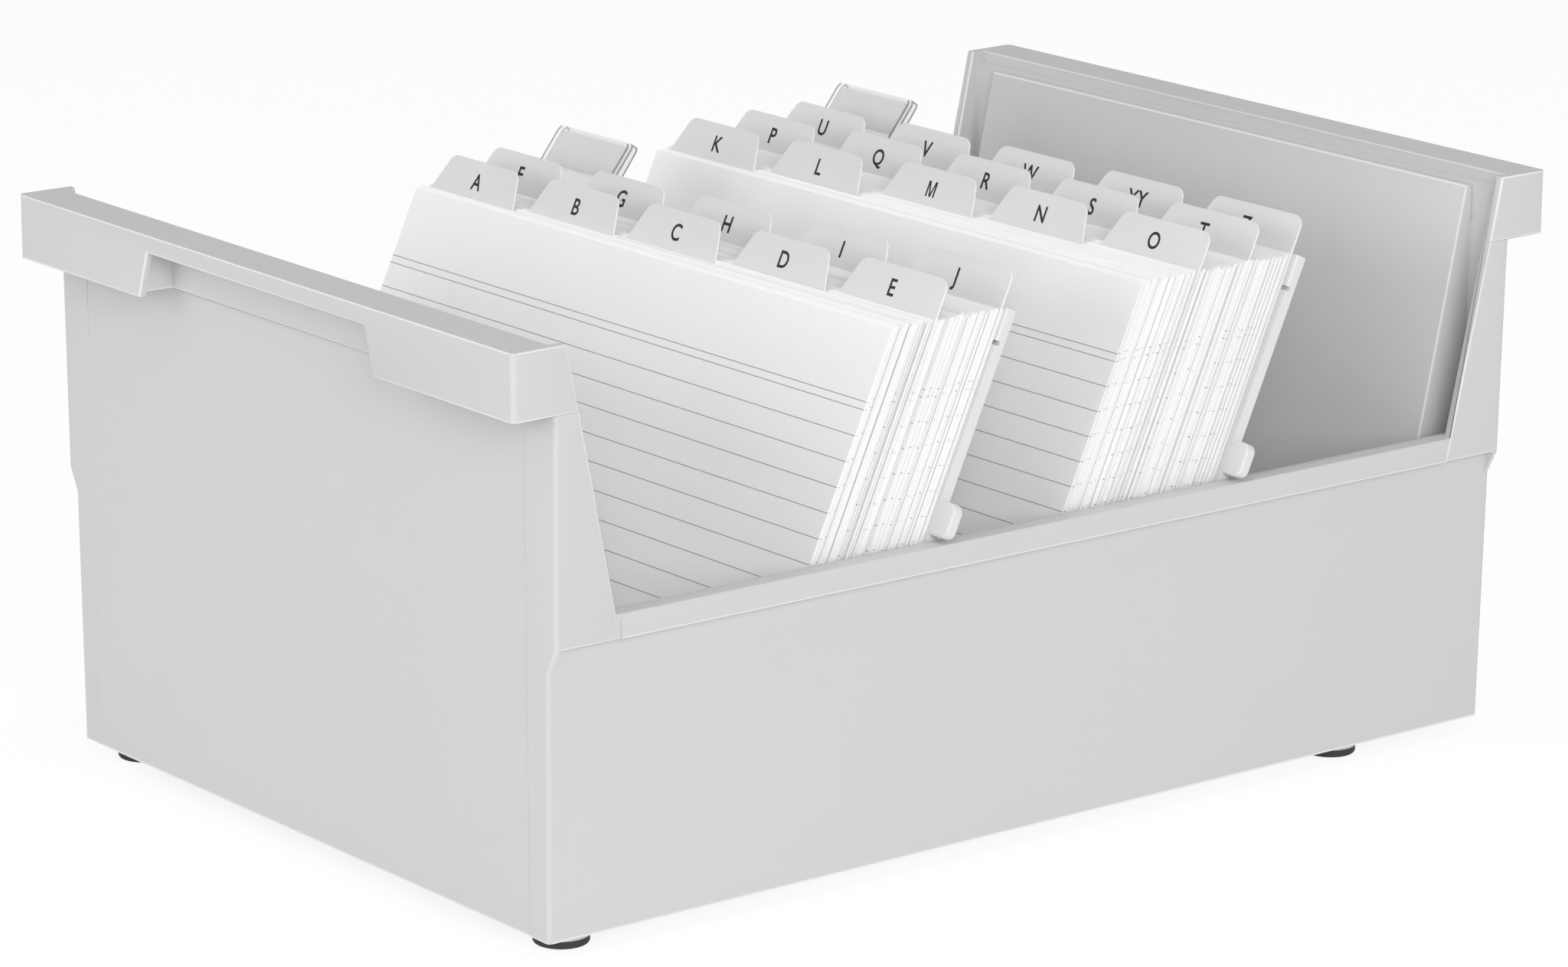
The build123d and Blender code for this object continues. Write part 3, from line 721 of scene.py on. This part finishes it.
# ---------------------------------------------------------------- tab guides
@dataclass
class TabGuides:
    """Guide sheets with cut edges painted light as a highlight, and a printed letter on each tab.

    The M has its own outline, because the font's M fills up when it is made bolder.
    Lengths are in millimetres, and the outline is in heights of the letter.
    """

    plan: FilingPlan
    wardrobe: Wardrobe
    edge: float = 0.12
    broad: float = 0.95  # a face that looks along the sheet's own axis this much is broad
    letter_height: float = 4.5
    letter_middle: float = 5.6  # above the cards' top edge
    letter_narrow: float = 0.9
    letter_weight: float = 0.2  # thickness added to every stroke
    ink_depth: float = 0.02
    ink_ahead: float = 0.55  # from the tab to the ink's middle, in depths of the ink
    cap: float = 1.0  # height of a capital at font size 1, measured in build()
    m_outline: tuple[tuple[float, float], ...] = (
        (0.0, 0.0), (0.15, 0.0), (0.15, 0.76), (0.37, 0.0), (0.53, 0.0), (0.75, 0.76),
        (0.75, 0.0), (0.9, 0.0), (0.9, 1.0), (0.69, 1.0), (0.45, 0.22), (0.21, 1.0), (0.0, 1.0))

    def cap_height(self) -> float:
        """Height of a capital of the built-in font at size 1."""
        mesh = self.printed(self.font_curve("H", 1.0, 0.0))
        tall = max(v.co.y for v in mesh.vertices) - min(v.co.y for v in mesh.vertices)
        bpy.data.meshes.remove(mesh)
        return tall

    def font_curve(self, words: str, size: float, weight: float) -> bpy.types.Curve:
        """Outline of a word in the built-in font, centred sideways.

        Args:
            words: what is printed.
            size: font size in metres.
            weight: thickness added to every stroke, in metres.

        Returns:
            The outline, not yet in the scene.
        """
        curve = bpy.data.curves.new("word", "FONT")
        curve.body = words
        curve.size = size
        curve.align_x = "CENTER"
        curve.offset = weight / 2
        curve.resolution_u = 6
        return curve

    def drawn_curve(self, size: float) -> bpy.types.Curve:
        """Outline of the letter M, centred sideways.

        Args:
            size: font size in metres.

        Returns:
            The outline, not yet in the scene.
        """
        curve = bpy.data.curves.new("word", "CURVE")
        curve.dimensions = "2D"
        curve.fill_mode = "BOTH"
        line = curve.splines.new("POLY")
        line.points.add(len(self.m_outline) - 1)
        tall = size * self.cap
        middle = max(x for x, _ in self.m_outline) / 2
        for point, (x, y) in zip(line.points, self.m_outline):
            point.co = ((x - middle) * tall, y * tall, 0.0, 1.0)
        line.use_cyclic_u = True
        return curve

    def printed(self, curve: bpy.types.Curve) -> bpy.types.Mesh:
        """Turn an outline into a closed mesh, flat in XY and as thick as the ink.

        Args:
            curve: the outline.

        Returns:
            The mesh.
        """
        curve.extrude = self.ink_depth * MM / 2
        holder = bpy.data.objects.new("word", curve)
        bpy.context.scene.collection.objects.link(holder)
        mesh = baked(holder)
        bpy.data.objects.remove(holder)
        return mesh

    def letter(self, name: str, column: int, size: float) -> None:
        """Print one guide's letter on its tab.

        Args:
            name: the guide's letter or letters in lower case.
            column: the tab's column from the left.
            size: font size in metres.
        """
        plan = self.plan
        words = name.upper()
        mesh = self.printed(
            self.drawn_curve(size) if words == "M"
            else self.font_curve(words, size, self.letter_weight * MM))
        low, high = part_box(f"guide_{name}")
        aside = (low.x + high.x) / 2 / MM + plan.letter_aside
        middle = (column - (plan.columns - 1) / 2) * plan.tab_pitch + aside
        base = CARD_HEIGHT + self.letter_middle - self.letter_height / 2
        ahead = self.ink_depth * MM * self.ink_ahead
        upright = Matrix.Translation((middle * MM, -ahead, base * MM))
        upright = upright @ Euler((math.radians(90), 0.0, 0.0)).to_matrix().to_4x4()
        upright = upright @ Matrix.Diagonal((self.letter_narrow, 1.0, 1.0, 1.0))
        mesh.transform(leaning(low.y, plan.foot_height(name)) @ upright)
        piece = object_from(f"letter_{name}", mesh, self.wardrobe.get(Finish.INK))
        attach(piece, f"section_{name}")

    def build(self) -> None:
        """Make every guide and letter."""
        self.cap = self.cap_height()
        size = self.letter_height * MM / self.cap
        ahead = leaning(0.0, 0.0).to_3x3() @ Vector((0.0, 1.0, 0.0))
        for _, files in self.plan.blocks():
            for number, (name, _) in enumerate(files):
                sheet = softened(
                    f"guide_{name}", self.edge * MM, 1, f"sheet_{name}",
                    self.wardrobe.get(Finish.GUIDE), self.wardrobe.get(Finish.GUIDE_EDGE))
                mark_rims(sheet, lambda normal: abs(normal.dot(ahead)) > self.broad)
                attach(sheet, f"section_{name}")
                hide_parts(f"guide_{name}")
                self.letter(name, number % self.plan.columns, size)
        LOG.info("tab guides and letters made")


# ------------------------------------------------------------- tray and plates
@dataclass
class TrayBody:
    """The moulded tray with rounded edges, and its rubber feet, in millimetres."""

    wardrobe: Wardrobe
    edge: float = 0.45
    ledge_z: float = 141.5  # height of the ledge under the finger lips
    ledge_y: float = 164.01  # its outer edge
    wall_y: float = 161.5  # the end wall below it
    near: float = 0.02  # how close a point has to be to those to belong to the ledge

    def blend_ledge(self, work: bmesh.types.BMesh) -> None:
        """Draw the ledge under each finger lip back to the end wall, so the wall runs through.

        Args:
            work: the tray's mesh.
        """
        for point in work.verts:
            low = abs(point.co.z - self.ledge_z * MM) < self.near * MM
            if low and abs(abs(point.co.y) - self.ledge_y * MM) < self.near * MM:
                point.co.y = math.copysign(self.wall_y * MM, point.co.y)

    def build(self) -> None:
        """Make the tray and dress the feet."""
        shell = softened(
            "tray", self.edge * MM, 2, "tray_shell",
            self.wardrobe.get(Finish.TRAY), self.wardrobe.get(Finish.TRAY_EDGE),
            self.blend_ledge)
        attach(shell, "tray")
        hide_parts("tray")
        dress(bpy.data.objects["rubber_feet"], self.wardrobe.get(Finish.RUBBER))
        LOG.info("tray: %d faces", len(shell.data.polygons))


@dataclass
class SupportPlates:
    """Both support plates, with their label riders and paper labels, in millimetres."""

    wardrobe: Wardrobe
    edge: float = 0.35
    rider_edge: float = 0.1
    side_on: float = 0.3  # a rider's face that looks sideways more than this is a cut edge

    def build(self) -> None:
        """Make the plates, riders and labels."""
        for side in ("front", "rear"):
            plate = softened(
                f"{side}_support_plate", self.edge * MM, 2, f"{side}_plate_shell",
                self.wardrobe.get(Finish.PLATE), self.wardrobe.get(Finish.PLATE_EDGE))
            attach(plate, f"{side}_plate")
            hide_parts(f"{side}_support_plate")
            rider = softened(
                f"{side}_label_rider", self.rider_edge * MM, 1, f"{side}_rider_sheet",
                self.wardrobe.get(Finish.CLEAR), self.wardrobe.get(Finish.CLEAR_EDGE))
            mark_rims(rider, lambda normal: abs(normal.x) < self.side_on)
            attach(rider, f"{side}_rider")
            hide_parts(f"{side}_label_rider")
            dress(bpy.data.objects[f"{side}_label"], self.wardrobe.get(Finish.LABEL))
        LOG.info("support plates, riders and labels made")


# ------------------------------------------------------------------- studio
@dataclass(frozen=True)
class Softbox:
    """A large even lamp that looks at the drawer's middle, in metres and watts."""

    name: str
    place: tuple[float, float, float]
    size: tuple[float, float]
    power: float
    target: tuple[float, float, float] = (0.0, 0.0, 0.08)

    def build(self) -> None:
        """Add the lamp."""
        lamp = bpy.data.lights.new(self.name, "AREA")
        lamp.shape = "RECTANGLE"
        lamp.size, lamp.size_y = self.size
        lamp.energy = self.power
        holder = bpy.data.objects.new(self.name, lamp)
        bpy.context.scene.collection.objects.link(holder)
        holder.location = self.place
        aim = Vector(self.target) - Vector(self.place)
        holder.rotation_euler = aim.to_track_quat("-Z", "Y").to_euler()


@dataclass
class Studio:
    """Pale floor, soft lamps, white surroundings and the camera."""

    ambient: float = 0.47  # light of the surroundings on the drawer
    floor_colour: str = "F4F4F4"
    floor_share: float = 0.3  # share of the floor's light that doesn't depend on the lamps
    floor_glow: float = 1.0  # strength of that share
    floor_seen: float = 0.82  # the same two as the camera sees them
    floor_white: float = 1.06
    sensor: float = 36.0  # millimetres
    photo_width: int = 2048  # pixels
    focal: float = 8034.69  # pixels of the photograph, solved with the place and angles
    place: tuple[float, float, float] = (1.2773, -1.01627, 0.51314)  # metres
    yaw: float = 142.893  # degrees
    pitch: float = -15.169
    shift: tuple[float, float] = (0.09080, 0.00796)  # shares of the picture's width
    lamps: tuple[Softbox, ...] = (
        Softbox("right_box", (2.0, -1.0, 0.9), (1.2, 1.0), 24.0),
        Softbox("front_box", (-0.3, -2.1, 0.8), (1.2, 0.8), 8.5),
        Softbox("card_box", (-0.2, -1.8, 1.9), (1.3, 1.0), 2.0),
        Softbox("top_box", (0.3, 0.1, 2.3), (1.2, 1.2), 7.0))

    def world(self) -> None:
        """White to the eye and to transmission rays, plain soft light elsewhere."""
        world = bpy.data.worlds.new("white room")
        bpy.context.scene.world = world
        world.use_nodes = True
        tree = world.node_tree
        tree.nodes.clear()
        path = add(tree, "ShaderNodeLightPath").outputs
        direct = add(tree, "ShaderNodeMath", {"operation": "MAXIMUM"},
                     i0=path["Is Camera Ray"], i1=path["Is Transmission Ray"])
        level = add(tree, "ShaderNodeMapRange", None, Value=direct.outputs[0],
                    i3=self.ambient, i4=1.0)
        sky = add(tree, "ShaderNodeBackground", None, Color=(1, 1, 1, 1),
                  Strength=level.outputs["Result"])
        output = tree.nodes.new("ShaderNodeOutputWorld")
        tree.links.new(sky.outputs[0], output.inputs["Surface"])

    def floor(self) -> None:
        """Floor that looks white and keeps a faint shadow."""
        mesh = bpy.data.meshes.new("floor")
        reach = 6.0
        mesh.from_pydata([(-reach, -reach, 0), (reach, -reach, 0), (reach, reach, 0),
                          (-reach, reach, 0)], [], [(0, 1, 2, 3)])
        material, tree = new_material("white paper floor")
        path = add(tree, "ShaderNodeLightPath").outputs
        seen = add(tree, "ShaderNodeMath", {"operation": "MAXIMUM"},
                   i0=path["Is Camera Ray"], i1=path["Is Transmission Ray"])
        share = add(tree, "ShaderNodeMapRange", None, Value=seen.outputs[0],
                    i3=self.floor_share, i4=self.floor_seen)
        level = add(tree, "ShaderNodeMapRange", None, Value=seen.outputs[0],
                    i3=self.floor_glow, i4=self.floor_white)
        matt = add(tree, "ShaderNodeBsdfDiffuse", None, Color=linear(self.floor_colour))
        glow = add(tree, "ShaderNodeEmission", None, Color=(1, 1, 1, 1),
                   Strength=level.outputs["Result"])
        mixed = add(tree, "ShaderNodeMixShader", None, i0=share.outputs["Result"],
                    i1=matt.outputs[0], i2=glow.outputs[0])
        finish_surface(tree, mixed)
        floor = object_from("floor", mesh, material)

    def camera(self) -> None:
        """Camera at the photograph's viewing angle."""
        data = bpy.data.cameras.new("camera")
        data.sensor_fit = "HORIZONTAL"
        data.sensor_width = self.sensor
        data.lens = self.focal / self.photo_width * self.sensor
        data.shift_x, data.shift_y = self.shift
        data.clip_start, data.clip_end = 0.05, 50.0
        holder = bpy.data.objects.new("camera", data)
        bpy.context.scene.collection.objects.link(holder)
        yaw, pitch = math.radians(self.yaw), math.radians(self.pitch)
        ahead = Vector((math.cos(pitch) * math.cos(yaw), math.cos(pitch) * math.sin(yaw),
                        math.sin(pitch)))
        holder.location = self.place
        holder.rotation_euler = ahead.to_track_quat("-Z", "Y").to_euler()
        bpy.context.scene.camera = holder

    def build(self) -> None:
        """Set the whole studio."""
        bpy.context.scene.view_settings.view_transform = "Standard"
        self.world()
        self.floor()
        self.camera()
        for box in self.lamps:
            box.build()
        LOG.info("studio set")


def main() -> None:
    """Build the drawer in order."""
    logging.basicConfig(level=logging.INFO, format="%(message)s")
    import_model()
    wardrobe, plan = Wardrobe(), FilingPlan()
    steps: tuple[Callable[[], None], ...] = (
        TrayBody(wardrobe).build, SupportPlates(wardrobe).build,
        TabGuides(plan, wardrobe).build, CardPacks(plan, wardrobe).build, Studio().build)
    for step in steps:
        step()


if __name__ == "__main__":
    main()
